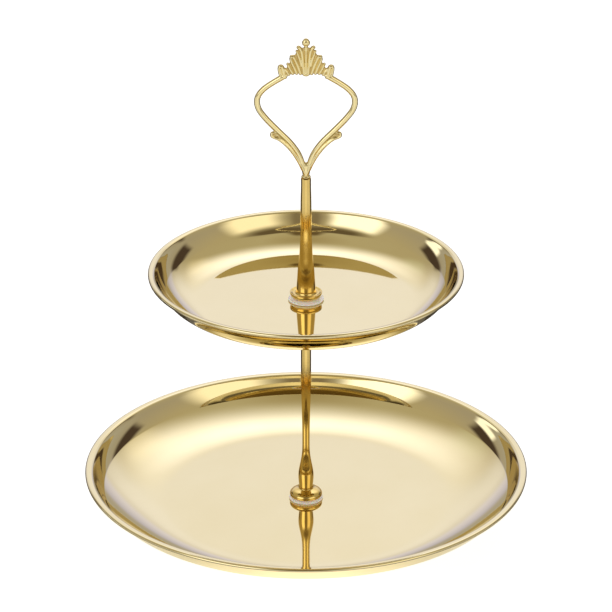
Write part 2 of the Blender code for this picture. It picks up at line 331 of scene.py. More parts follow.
class Nodes:
    """Short calls for building a material's or the world's node tree."""

    def __init__(self, tree):
        self.tree = tree

    def add(self, kind, **settings):
        node = self.tree.nodes.new(kind)
        for key, value in settings.items():
            setattr(node, key, value)
        return node

    def wire(self, source, target):
        self.tree.links.new(source, target)

    def value(self, target, source):
        """Sets a socket to a plain value, or links it to another socket."""
        if isinstance(source, bpy.types.NodeSocket):
            self.wire(source, target)
        else:
            target.default_value = source

    def maths(self, operation, a, b=0.0):
        node = self.add("ShaderNodeMath", operation=operation)
        self.value(node.inputs[0], a)
        self.value(node.inputs[1], b)
        return node.outputs[0]

    def vector(self, operation, a, b=(0.0, 0.0, 0.0)):
        node = self.add("ShaderNodeVectorMath", operation=operation)
        self.value(node.inputs[0], a)
        self.value(node.inputs[1], b)
        return node.outputs["Value" if operation == "LENGTH" else "Vector"]

    def ranged(self, source, low, high, to_low, to_high, smooth=False):
        """The source's run from low to high, turned into a run from to_low to to_high."""
        node = self.add("ShaderNodeMapRange", interpolation_type="SMOOTHSTEP" if smooth else "LINEAR")
        self.value(node.inputs["Value"], source)
        node.inputs["From Min"].default_value = low
        node.inputs["From Max"].default_value = high
        node.inputs["To Min"].default_value = to_low
        node.inputs["To Max"].default_value = to_high
        return node.outputs["Result"]

    def noise(self, place, scale, detail=3.0, roughness=0.5):
        node = self.add("ShaderNodeTexNoise")
        self.value(node.inputs["Vector"], place)
        node.inputs["Scale"].default_value = scale
        node.inputs["Detail"].default_value = detail
        node.inputs["Roughness"].default_value = roughness
        return node.outputs["Fac"]

    def ramp(self, source, *stops):
        """Colour ramp; each stop is (place, colour)."""
        node = self.add("ShaderNodeValToRGB")
        self.value(node.inputs["Fac"], source)
        elements = node.color_ramp.elements
        while len(elements) < len(stops):
            elements.new(1.0)
        for element, (place, colour) in zip(elements, stops):
            element.position = place
            element.color = (*colour, 1.0)
        return node.outputs["Color"]

    def mixed(self, factor, a, b, blend="MIX"):
        node = self.add("ShaderNodeMix", data_type="RGBA", blend_type=blend)
        self.value(node.inputs["Factor"], factor)
        sockets = [s for s in node.inputs if s.type == "RGBA"]
        self.value(sockets[0], a)
        self.value(sockets[1], b)
        return [s for s in node.outputs if s.type == "RGBA"][0]

    def bump(self, height, distance, strength=1.0, normal=None):
        node = self.add("ShaderNodeBump")
        node.inputs["Strength"].default_value = strength
        node.inputs["Distance"].default_value = distance
        self.wire(height, node.inputs["Height"])
        if normal:
            self.wire(normal, node.inputs["Normal"])
        return node.outputs["Normal"]


def new_material(name):
    """A material, its nodes, its shader, and the object's own coordinates in metres."""
    material = bpy.data.materials.new(name)
    material.use_nodes = True
    nodes = Nodes(material.node_tree)
    place = nodes.add("ShaderNodeTexCoord").outputs["Object"]
    return material, nodes, material.node_tree.nodes["Principled BSDF"], place


def polar(nodes, place):
    """Radius from the stem's axis, angle about it and height, as sockets."""
    split = nodes.add("ShaderNodeSeparateXYZ")
    nodes.wire(place, split.inputs[0])
    flat = nodes.add("ShaderNodeCombineXYZ")
    nodes.wire(split.outputs["X"], flat.inputs["X"])
    nodes.wire(split.outputs["Y"], flat.inputs["Y"])
    radius = nodes.vector("LENGTH", flat.outputs[0])
    angle = nodes.maths("ARCTAN2", split.outputs["Y"], split.outputs["X"])
    return radius, angle, split.outputs["Z"]


def plate_gold():
    """Mirror-polished champagne gold: faint circular polishing marks, haze and tiny scratches."""
    material, nodes, shader, place = new_material("plate_gold")
    radius, angle, height = polar(nodes, place)

    cloud = nodes.noise(place, 26.0, 3.0)
    tone = nodes.ramp(cloud, (0.25, (0.862, 0.735, 0.415)), (0.75, (0.886, 0.764, 0.450)))
    nodes.wire(tone, shader.inputs["Base Color"])
    shader.inputs["Metallic"].default_value = 1.0

    turned_place = nodes.add("ShaderNodeCombineXYZ")
    nodes.wire(nodes.maths("MULTIPLY", radius, 2600.0), turned_place.inputs["X"])
    nodes.wire(nodes.maths("MULTIPLY", angle, 1.5), turned_place.inputs["Y"])
    nodes.wire(nodes.maths("MULTIPLY", height, 900.0), turned_place.inputs["Z"])
    marks = nodes.noise(turned_place.outputs[0], 1.0, 2.0, 0.6)
    haze = nodes.noise(place, 60.0, 4.0, 0.6)
    rough = nodes.maths("ADD", nodes.ranged(haze, 0.3, 0.75, 0.018, 0.05),
                        nodes.ranged(marks, 0.35, 0.75, 0.0, 0.018))
    nodes.wire(rough, shader.inputs["Roughness"])

    swell = nodes.noise(place, 14.0, 1.0)
    waves = nodes.bump(swell, 0.00006, 0.35)
    nodes.wire(nodes.bump(marks, 0.0000012, 0.5, waves), shader.inputs["Normal"])
    return material


def cast_gold():
    """Bright gold plating on a casting: warmer, slightly softened, and darker in its hollows, where shade
    is painted into the colour.
    """
    material, nodes, shader, place = new_material("cast_gold")
    cloud = nodes.noise(place, 90.0, 4.0, 0.55)
    tone = nodes.ramp(cloud, (0.3, (0.880, 0.740, 0.370)), (0.7, (0.930, 0.800, 0.430)))
    split = nodes.add("ShaderNodeSeparateXYZ")
    nodes.wire(place, split.inputs[0])
    # painted shade: recesses near the middle plane between the front and back faces get a darker gold
    # colour standing for shade, and are made rougher
    depth = nodes.maths("ADD", nodes.maths("ABSOLUTE", split.outputs["Y"]),
                        nodes.ranged(cloud, 0.3, 0.7, -0.10 * MM, 0.10 * MM))
    hollow_shade_share = nodes.ranged(depth, 0.52 * MM, 1.12 * MM, 1.0, 0.0, smooth=True)
    hollow_shaded_tone = nodes.mixed(hollow_shade_share, tone, (0.640, 0.480, 0.190, 1.0))
    nodes.wire(hollow_shaded_tone, shader.inputs["Base Color"])
    shader.inputs["Metallic"].default_value = 1.0
    grain = nodes.noise(place, 700.0, 3.0, 0.6)
    rough = nodes.maths("ADD", nodes.ranged(grain, 0.3, 0.7, 0.07, 0.14),
                        nodes.maths("MULTIPLY", hollow_shade_share, 0.18))
    nodes.wire(rough, shader.inputs["Roughness"])
    pebble = nodes.noise(place, 420.0, 2.0)
    nodes.wire(nodes.bump(pebble, 0.00003, 0.4), shader.inputs["Normal"])
    return material


def turned_gold():
    """Gold-plated turned stem: polished, with fine lathe rings."""
    material, nodes, shader, place = new_material("turned_gold")
    radius, angle, height = polar(nodes, place)
    cloud = nodes.noise(place, 70.0, 3.0)
    tone = nodes.ramp(cloud, (0.3, (0.820, 0.590, 0.190)), (0.7, (0.860, 0.640, 0.235)))
    nodes.wire(tone, shader.inputs["Base Color"])
    shader.inputs["Metallic"].default_value = 1.0
    ring_place = nodes.add("ShaderNodeCombineXYZ")
    nodes.wire(nodes.maths("MULTIPLY", height, 3000.0), ring_place.inputs["Z"])
    nodes.wire(nodes.maths("MULTIPLY", radius, 3000.0), ring_place.inputs["X"])
    nodes.wire(nodes.maths("MULTIPLY", angle, 0.8), ring_place.inputs["Y"])
    rings = nodes.noise(ring_place.outputs[0], 1.0, 2.0, 0.6)
    nodes.wire(nodes.ranged(rings, 0.3, 0.75, 0.07, 0.13), shader.inputs["Roughness"])
    nodes.wire(nodes.bump(rings, 0.0000015, 0.6), shader.inputs["Normal"])
    return material


def plated_steel():
    """Gold-plated screw and studs: duller, with machining marks."""
    material, nodes, shader, place = new_material("plated_steel")
    cloud = nodes.noise(place, 240.0, 4.0, 0.6)
    tone = nodes.ramp(cloud, (0.3, (0.700, 0.570, 0.310)), (0.7, (0.820, 0.690, 0.400)))
    nodes.wire(tone, shader.inputs["Base Color"])
    shader.inputs["Metallic"].default_value = 1.0
    nodes.wire(nodes.ranged(cloud, 0.3, 0.7, 0.24, 0.38), shader.inputs["Roughness"])
    grain = nodes.noise(place, 1600.0, 2.0)
    nodes.wire(nodes.bump(grain, 0.00002, 0.4), shader.inputs["Normal"])
    return material


def milky_plastic():
    """Milky translucent gasket plastic with a soft skin, faint flow clouding and a faint painted glow,
    though it is no lamp.
    """
    material, nodes, shader, place = new_material("milky_plastic")
    cloud = nodes.noise(place, 300.0, 4.0, 0.6)
    tone = nodes.ramp(cloud, (0.3, (0.940, 0.925, 0.920)), (0.7, (0.985, 0.970, 0.970)))
    nodes.wire(tone, shader.inputs["Base Color"])
    nodes.wire(nodes.ranged(cloud, 0.3, 0.7, 0.26, 0.40), shader.inputs["Roughness"])
    # painted light: a faint pinkish-white emission brightens the gasket as if it were lit, though it is no
    # lamp
    shader.inputs["Emission Color"].default_value = (1.0, 0.94, 0.92, 1.0)
    shader.inputs["Emission Strength"].default_value = 0.14
    shader.inputs["Subsurface Weight"].default_value = 0.35
    shader.inputs["Subsurface Scale"].default_value = 0.0012
    shader.inputs["IOR"].default_value = 1.47
    skin = nodes.noise(place, 1500.0, 2.0)
    nodes.wire(nodes.bump(skin, 0.00003, 0.4), shader.inputs["Normal"])
    return material


def clear_rubber():
    """Clear silicone bumper: slightly cloudy with a fine matt skin."""
    material, nodes, shader, place = new_material("clear_rubber")
    cloud = nodes.noise(place, 220.0, 3.0)
    tone = nodes.ramp(cloud, (0.3, (0.860, 0.875, 0.870)), (0.7, (0.940, 0.950, 0.945)))
    nodes.wire(tone, shader.inputs["Base Color"])
    nodes.wire(nodes.ranged(cloud, 0.3, 0.7, 0.16, 0.30), shader.inputs["Roughness"])
    shader.inputs["Transmission Weight"].default_value = 0.85
    shader.inputs["IOR"].default_value = 1.41
    skin = nodes.noise(place, 1200.0, 2.0)
    nodes.wire(nodes.bump(skin, 0.00003, 0.3), shader.inputs["Normal"])
    return material


# ---------------------------------------------------------------- pieces

def dish(name, size, node, body, material):
    """Pressed dish: flat floor, rising curve, crease, steep wall and a lip rolled into a bead.
    The profile is drawn with the bead's centre at height zero, then raised to its place."""
    rim_plane = heights(node)[1] - BEAD_RADIUS
    crease_r = size["rim"] - size["lip"] - WALL_INSET
    run = crease_r - size["flat"]
    rise = size["depth"] - CREASE_DROP
    curve = (run * run + rise * rise) / (2 * rise)
    sweep = math.degrees(math.asin(run / curve))
    centre_z = curve - size["depth"]
    lip_r = size["rim"] - size["lip"]
    bead_r = size["rim"] - BEAD_RADIUS
    floor = -size["depth"]
    top = [(PLATE_HOLE + BROKEN_EDGE, floor)]
    top += arc(size["flat"], centre_z, curve, -90, -90 + sweep, 90)
    top += hollow((crease_r, -CREASE_DROP), (lip_r, -1.1 * MM), WALL_SWEEP)[1:]
    top += [(lip_r + 0.9 * MM, 0.55 * MM), (lip_r + 2.0 * MM, 1.1 * MM)]
    top += arc(bead_r, 0.0, BEAD_RADIUS, 90, -60, 30)
    under = arc(bead_r, 0.0, BEAD_RADIUS, -60, -165, 20)
    under += [(lip_r + 1.9 * MM, -0.35 * MM), (lip_r + 0.9 * MM, -1.5 * MM)]
    under += reversed(hollow((crease_r + 0.66 * MM, -CREASE_DROP - 0.5 * MM),
                             (lip_r + 0.75 * MM, -1.8 * MM), WALL_SWEEP))
    under += arc(size["flat"], centre_z, curve + SHEET, -90 + sweep, -90, 90)
    under += [(PLATE_HOLE + BROKEN_EDGE, floor - SHEET)]
    above = softened(top, 0.45 * MM)
    below = softened(under, 0.6 * MM)
    hole = [(PLATE_HOLE, floor - SHEET + BROKEN_EDGE), (PLATE_HOLE, floor - BROKEN_EDGE)]
    outline = [(r, z + rim_plane) for r, z in above + below[1:] + hole]
    bm = bmesh.new()
    lathe(bm, outline, DISH_STEPS)
    mesh = finished_mesh(name, bm, DISH_EDGE)
    return piece(name, mesh, material, body, "plate_gold", node)


def stem_rod(material):
    """Lower stem: domed flange, long bulb, slim shaft and the bell that carries the upper plate."""
    base, top = heights("lower_rod")
    bore_low = base + 10.0 * MM
    bore_high = top - 9.0 * MM
    foot = [(0.0, bore_low), (THREAD_BORE, bore_low), (THREAD_BORE, base + BEVEL),
            (THREAD_BORE + BEVEL, base)]
    flange = at_height(base, (8.3, 0.0))
    flange += arc(4.6 * MM, base + 1.2 * MM, 4.8 * MM, -15, 80, 19, rise=3.1 * MM)
    shaft = spline(at_height(base, (3.9, 4.8), (4.15, 7.8), (4.45, 11.5), (4.4, 14.5), (4.0, 17.5),
                             (3.4, 20.5), (2.75, 24.0), (2.25, 28.5), (2.15, 34.0), (2.2, 42.0),
                             (2.4, 52.0), (2.75, 66.0), (2.95, 78.0))
                   + at_height(top, (2.95, -16.0)))
    bell = at_height(top, (2.95, -13.0), (3.9, -11.6), (4.6, -10.2), (4.55, -8.4), (4.9, -6.6),
                     (6.3, -4.3), (8.6, -2.9), (9.0, -2.3), (9.0, -0.5), (8.6, 0.0))
    head = [(THREAD_BORE + BEVEL, top), (THREAD_BORE, top - BEVEL), (THREAD_BORE, bore_high),
            (0.0, bore_high)]
    skin = softened(flange + shaft + bell, 0.7 * MM, turn=3.0)
    bm = bmesh.new()
    lathe(bm, foot + skin + head, STEM_STEPS)
    mesh = finished_mesh("stem_rod", bm, STEM_EDGE)
    return piece("stem_rod", mesh, material, "stem", "cast_gold", "lower_rod")


def handle_post(material):
    """Handle column: cupped collar under a long tapered shaft."""
    base, top = heights("handle_column")
    tip = 2.85 * MM
    bore_high = base + 14.0 * MM
    bore_low = top - 7.0 * MM
    bore = [(0.0, bore_high), (THREAD_BORE, bore_high), (THREAD_BORE, base + BEVEL),
            (THREAD_BORE + BEVEL, base)]
    collar = at_height(base, (6.8, 0.0), (7.6, 0.25), (8.4, 0.9), (8.95, 2.0), (9.15, 3.0), (9.0, 3.4),
                       (8.6, 3.4), (7.4, 2.7), (6.4, 2.6), (5.8, 3.1))
    shaft = spline(at_height(base, (5.5, 4.0), (5.25, 9.0), (4.6, 17.5), (3.8, 26.0), (3.35, 35.0),
                             (3.15, 46.0), (3.05, 58.0))
                   + [(tip, top - 6.0 * MM), (tip, top - 0.35 * MM)])
    cap = [(tip - BEVEL, top), (PIN_BORE + BROKEN_EDGE, top), (PIN_BORE, top - BROKEN_EDGE),
           (PIN_BORE, bore_low), (0.0, bore_low)]
    skin = softened(collar, 0.45 * MM, turn=6.0) + shaft
    bm = bmesh.new()
    lathe(bm, bore + skin + cap, STEM_STEPS)
    mesh = finished_mesh("handle_post", bm, STEM_EDGE)
    return piece("handle_post", mesh, material, "handle", "cast_gold", "handle_column")


def threaded(r, z, angle, low, high, pitch, depth):
    """Radius of a right-hand thread's flank at a height and angle, run out at both ends."""
    phase = ((z - low) / pitch - angle / TAU) % 1.0
    crest = abs(phase * 2.0 - 1.0)
    run_out = min(1.0, (z - low) / pitch, (high - z) / pitch)
    return r - depth * crest * max(0.0, run_out)


def thread_outline(radius, low, high, pitch, ease):
    """Side of a threaded rod from its lower to its upper end, eight points to each turn."""
    points = [(0.0, low), (radius - ease, low)]
    steps = round((high - low - 2 * ease) / (pitch / 8))
    for i in range(steps + 1):
        points.append((radius, low + ease + (high - low - 2 * ease) * i / steps))
    return points + [(radius - ease, high), (0.0, high)]


def stud(name, node, body, radius, pitch, depth, material):
    """Threaded rod between a CAD node's ends."""
    bottom, top = heights(node)
    ease = 0.4 * MM

    def flank(r, z, angle):
        if r < radius - ON_AXIS:
            return r
        return threaded(r, z, angle, bottom + ease, top - ease, pitch, depth)

    bm = bmesh.new()
    lathe(bm, thread_outline(radius, bottom, top, pitch, ease), STUD_STEPS, flank)
    mesh = finished_mesh(name, bm, SMALL_EDGE)
    return piece(name, mesh, material, body, "plated_steel", node)


def fixing_screw(material):
    """Pan-head screw from below: domed head with a cross recess and a threaded shank."""
    bottom, top = heights("bottom_screw")
    seat = bottom + HEAD_HEIGHT
    plain = seat + THREAD_PITCH      # the thread starts above this level
    ease = 0.5 * MM
    dome = at_height(bottom, (0.0, 0.0), (1.2, 0.0))
    dome += arc(3.3 * MM, bottom + 1.75 * MM, 1.75 * MM, -90, -62, 4)
    dome += at_height(bottom, (5.0, 0.95), (5.45, 1.5)) + [(HEAD_RADIUS, seat - 0.15 * MM)]
    dome = softened(dome, 0.5 * MM, turn=5.0)
    shank = [(HEAD_RADIUS - 0.1 * MM, seat), (THREAD_RADIUS, seat)]
    shank += thread_outline(THREAD_RADIUS, seat, top, THREAD_PITCH, ease)[3:]

    def flank(r, z, angle):
        if z < plain or abs(r - THREAD_RADIUS) > ON_AXIS:
            return r
        return threaded(r, z, angle, plain, top - ease, THREAD_PITCH, THREAD_DEPTH)

    bm = bmesh.new()
    lathe(bm, dome + shank, SCREW_STEPS, flank)
    mesh = finished_mesh("fixing_screw", bm, SCREW_EDGE)
    screw = piece("fixing_screw", mesh, material, "screw", "plated_steel", "bottom_screw")

    cutter_mesh = bpy.data.meshes.new("cross_cutter")
    bm = bmesh.new()
    mouth = (0.62 * MM, 2.5 * MM, bottom - 0.5 * MM)
    tip = (0.36 * MM, 1.0 * MM, bottom + 1.3 * MM)
    for turned_by in (0.0, math.pi / 2):
        corners = []
        for width, length, z in (mouth, tip):
            for x, y in ((-length, -width), (length, -width), (length, width), (-length, width)):
                c, s = math.cos(turned_by), math.sin(turned_by)
                corners.append(bm.verts.new((x * c - y * s, x * s + y * c, z)))
        a, b, c, d, e, f, g, h = corners
        for face in ((a, d, c, b), (e, f, g, h), (a, b, f, e), (b, c, g, f), (c, d, h, g), (d, a, e, h)):
            bm.faces.new(face)
    bmesh.ops.recalc_face_normals(bm, faces=bm.faces)
    bm.to_mesh(cutter_mesh)
    bm.free()
    cutter = bpy.data.objects.new("cross_cutter", cutter_mesh)
    bpy.context.scene.collection.objects.link(cutter)
    cut = screw.modifiers.new("recess", "BOOLEAN")
    cut.operation = "DIFFERENCE"
    cut.object = cutter
    cut.use_self = True
    bake_modifiers(screw)
    bpy.data.objects.remove(cutter, do_unlink=True)
    return screw


def bake_modifiers(obj):
    """Replaces an object's mesh with the result of its modifiers."""
    depsgraph = bpy.context.evaluated_depsgraph_get()
    depsgraph.update()
    mesh = bpy.data.meshes.new_from_object(obj.evaluated_get(depsgraph))
    mesh.name = obj.name
    obj.modifiers.clear()
    obj.data = mesh


def ring(name, node, body, slot, outer, ease, material, shoulder=0.0):
    """Ring with rounded edges that fills its CAD node's height; its top can slope down to a shoulder."""
    bottom, top = heights(node)
    inner = GASKET_HOLE
    outline = arc(outer - ease, bottom + ease, ease, -90, 0, 5)
    outline += arc(outer - ease, top - shoulder - ease, ease, 0, 70 if shoulder else 90, 5)
    if shoulder:
        outline += [(outer - 2.4 * MM, top - 0.15 * MM), (outer - 2.8 * MM, top)]
    outline += arc(inner + ease, top - ease, ease, 90, 180, 5)
    outline += arc(inner + ease, bottom + ease, ease, 180, 270, 5)
    bm = bmesh.new()
    lathe(bm, outline, STEM_STEPS)
    return piece(name, finished_mesh(name, bm, SMALL_EDGE), material, body, slot, node)


def bumper(name, node, material):
    """Moulded bumper foot: waisted side, rounded lower edge and a shallow dimple underneath."""
    low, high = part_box(node)
    bottom, top = low[2], high[2]
    centre = Vector(((low[0] + high[0]) / 2, (low[1] + high[1]) / 2, 0.0))
    side = at_height(bottom, (1.6, 0.25), (2.6, 0.0))
    side += arc(4.2 * MM, bottom + 0.9 * MM, 0.9 * MM, -90, 10, 8)
    side += at_height(bottom, (5.45, 3.0)) + at_height(top, (5.9, -0.5), (5.8, 0.0))
    outline = at_height(bottom, (0.0, 0.35)) + softened(side, 0.4 * MM, turn=6.0) + [(0.0, top)]
    bm = bmesh.new()
    lathe(bm, outline, BUMPER_STEPS)
    bmesh.ops.translate(bm, verts=bm.verts, vec=centre)
    return piece(name, finished_mesh(name, bm, SMALL_EDGE), material, "base", "clear_rubber", node)


def mirrored_tube(bm, points, sides, both_sides=True):
    """A tube through millimetre points (x, z, half_width, half_depth[, y]), and its mirror image in X.
    Heights are above the casting's own zero; the caller moves the whole casting up."""
    full = [(p[0], p[4] if len(p) > 4 else 0.0, p[1], p[2], p[3]) for p in points]
    path = spline(full, 6)
    for sign in (1.0, -1.0) if both_sides else (1.0,):
        tube(bm, [(sign * x * MM, y * MM, z * MM, w * MM, d * MM) for x, y, z, w, d in path], sides)


def crown_casting(material):
    """Cast loop: two arms that part from the stem, curled leaves under them, and a fanned crown."""
    zero = heights("crown_loop")[1] - CROWN_TIP      # level that the casting's heights are measured from
    bm = bmesh.new()

    # seat ring and neck under the Y where the arms part
    mirrored_tube(bm, [(0.0, 182.6, 2.0, 2.1), (0.0, 185.0, 2.1, 2.0), (0.0, 187.0, 2.2, 1.8)], 24,
                  both_sides=False)
    seat = [(0.0, 180.3), (2.45, 180.3), (2.65, 180.5), (2.65, 180.9), (2.4, 181.15), (0.0, 181.3)]
    lathe(bm, [(r * MM, z * MM) for r, z in seat], 32)
    mirrored_tube(bm, [(0.35, 181.6, 1.5, 1.9), (0.85, 184.2, 1.5, 1.85), (2.0, 188.6, 1.5, 1.6),
                       (4.1, 194.2, 1.55, 1.55), (6.9, 198.6, 1.6, 1.55), (10.1, 202.5, 1.65, 1.55),
                       (15.1, 207.6, 1.7, 1.55), (21.6, 214.6, 1.7, 1.55), (25.7, 220.2, 1.7, 1.55),
                       (27.0, 224.7, 1.7, 1.55), (26.2, 228.9, 1.65, 1.55), (23.0, 232.9, 1.6, 1.5),
                       (17.9, 236.6, 1.6, 1.5), (13.3, 239.4, 1.6, 1.5), (11.2, 240.6, 1.2, 1.4)], 20)

    # leaf against each arm, ending in a small curl with a hollow beside it
    mirrored_tube(bm, [(2.2, 184.9, 0.6, 1.3), (3.5, 188.6, 0.9, 1.45), (5.9, 193.2, 1.05, 1.5),
                       (9.0, 197.6, 1.1, 1.5), (12.3, 201.0, 1.05, 1.45), (15.3, 203.2, 0.95, 1.4),
                       (17.6, 204.1, 0.9, 1.35), (18.9, 205.0, 0.95, 1.35), (18.9, 206.4, 0.85, 1.3),
                       (17.6, 207.0, 0.75, 1.2), (15.6, 206.9, 0.7, 1.2)], 16)
    mirrored_tube(bm, [(11.5, 202.6, 1.3, 1.1), (14.6, 205.3, 1.5, 1.0), (16.4, 205.6, 1.2, 0.8),
                       (18.0, 205.6, 1.0, 0.5)], 12)

    # crossed strands on the neck, front and back
    for y in (1.55, -1.55):
        mirrored_tube(bm, [(2.9, 189.0, 0.5, 0.6, y * 0.7), (1.5, 185.4, 0.6, 0.65, y),
                           (0.15, 181.9, 0.6, 0.6, y * 1.1)], 12)

    # crown: thin web inside the fan, and a straight petal in the middle
    web = [(0.0, 241.3), (4.6, 242.0), (8.6, 241.5), (11.5, 240.8), (13.6, 243.4), (11.0, 244.6),
           (9.6, 246.8), (8.4, 249.2), (7.2, 251.2), (5.0, 254.4), (4.0, 256.4), (0.0, 257.2)]
    for sign in (1.0, -1.0):
        front = [bm.verts.new((sign * x * MM, -0.55 * MM, z * MM)) for x, z in web]
        back = [bm.verts.new((sign * x * MM, 0.55 * MM, z * MM)) for x, z in web]
        bm.faces.new(front)
        bm.faces.new(back)
        for k in range(len(web)):
            n = (k + 1) % len(web)
            bm.faces.new((front[k], front[n], back[n], back[k]))
    mirrored_tube(bm, [(0.0, 241.2, 0.85, 1.4), (0.0, 249.0, 0.75, 1.6), (0.0, 257.4, 0.7, 1.4)], 12,
                  both_sides=False)
    # petals that lean out from the middle, each with its points from foot to tip
    petals = (
        [(1.25, 241.3, 0.8, 1.2), (1.6, 246.0, 0.85, 1.45), (1.9, 251.0, 0.9, 1.5), (2.6, 255.0, 1.0, 1.5),
         (3.6, 256.8, 1.0, 1.45)],
        [(2.6, 246.2, 0.8, 1.1), (3.3, 249.6, 0.85, 1.4), (4.4, 253.0, 0.85, 1.45), (5.1, 254.9, 0.7, 1.3)],
        [(3.1, 241.7, 0.9, 1.1), (4.2, 245.4, 1.0, 1.45), (5.6, 249.2, 1.0, 1.5), (7.0, 251.8, 0.9, 1.4)],
        [(5.2, 241.9, 0.9, 1.2), (6.4, 245.2, 0.95, 1.5), (7.8, 248.6, 1.0, 1.5), (8.4, 250.4, 0.85, 1.4)],
        [(7.3, 241.8, 0.9, 1.2), (8.5, 244.2, 0.95, 1.5), (9.7, 246.5, 0.9, 1.4)],
        [(9.4, 241.3, 0.9, 1.2), (10.6, 243.2, 0.9, 1.3), (11.6, 244.4, 0.8, 1.2)],
    )
    for points in petals:
        mirrored_tube(bm, points, 14)
    # beads at the petals' tips where the fan steps down, and the boss under its middle
    for x, z, bead in ((4.1, 257.0, 1.15), (7.9, 251.5, 1.2), (10.0, 247.3, 0.85)):
        for sign in (1.0, -1.0):
            ball(bm, (sign * x * MM, 0.0, z * MM), (bead * MM, 1.6 * MM, bead * 0.9 * MM))
    ball(bm, (0.0, 0.0, 241.4 * MM), (2.0 * MM, 1.5 * MM, 1.3 * MM))

    # side scrolls and the knob on top
    mirrored_tube(bm, [(11.6, 239.7, 1.2, 1.5), (12.2, 241.8, 1.1, 1.55), (12.7, 244.2, 1.15, 1.6),
                       (13.4, 245.8, 1.15, 1.6), (14.5, 245.7, 1.0, 1.5), (14.9, 244.2, 0.75, 1.4),
                       (14.5, 241.6, 0.7, 1.3), (13.7, 239.9, 0.8, 1.3)], 16)
    mirrored_tube(bm, [(13.0, 239.8, 1.0, 0.9), (13.7, 242.2, 1.0, 0.9), (13.9, 244.6, 0.9, 0.9)], 12)
    ball(bm, (0.0, 0.0, 259.7 * MM), (2.3 * MM, 1.6 * MM, 2.1 * MM))
    ball(bm, (0.0, 0.0, 261.3 * MM), (1.5 * MM, 1.3 * MM, 0.9 * MM))
    mirrored_tube(bm, [(0.0, 255.5, 1.3, 1.3), (0.0, 258.5, 1.0, 1.2)], 10, both_sides=False)

    bmesh.ops.translate(bm, verts=bm.verts, vec=Vector((0.0, 0.0, zero)))
    mesh = finished_mesh("crown_casting", bm)
    casting = piece("crown_casting", mesh, material, "handle", "cast_gold", "crown_loop")
    remesh = casting.modifiers.new("fuse", "REMESH")
    remesh.mode = "VOXEL"
    remesh.voxel_size = CROWN_VOXEL
    ease = casting.modifiers.new("ease", "SMOOTH")
    ease.factor = 0.5
    ease.iterations = 3
    bake_modifiers(casting)
    casting.data.shade_smooth()
    return casting


# ---------------------------------------------------------------- studio

def direction(azimuth, elevation):
    """Unit vector; azimuth is measured from straight behind the stand towards +X."""
    az, el = math.radians(azimuth), math.radians(elevation)
    return (math.sin(az) * math.cos(el), math.cos(az) * math.cos(el), math.sin(el))


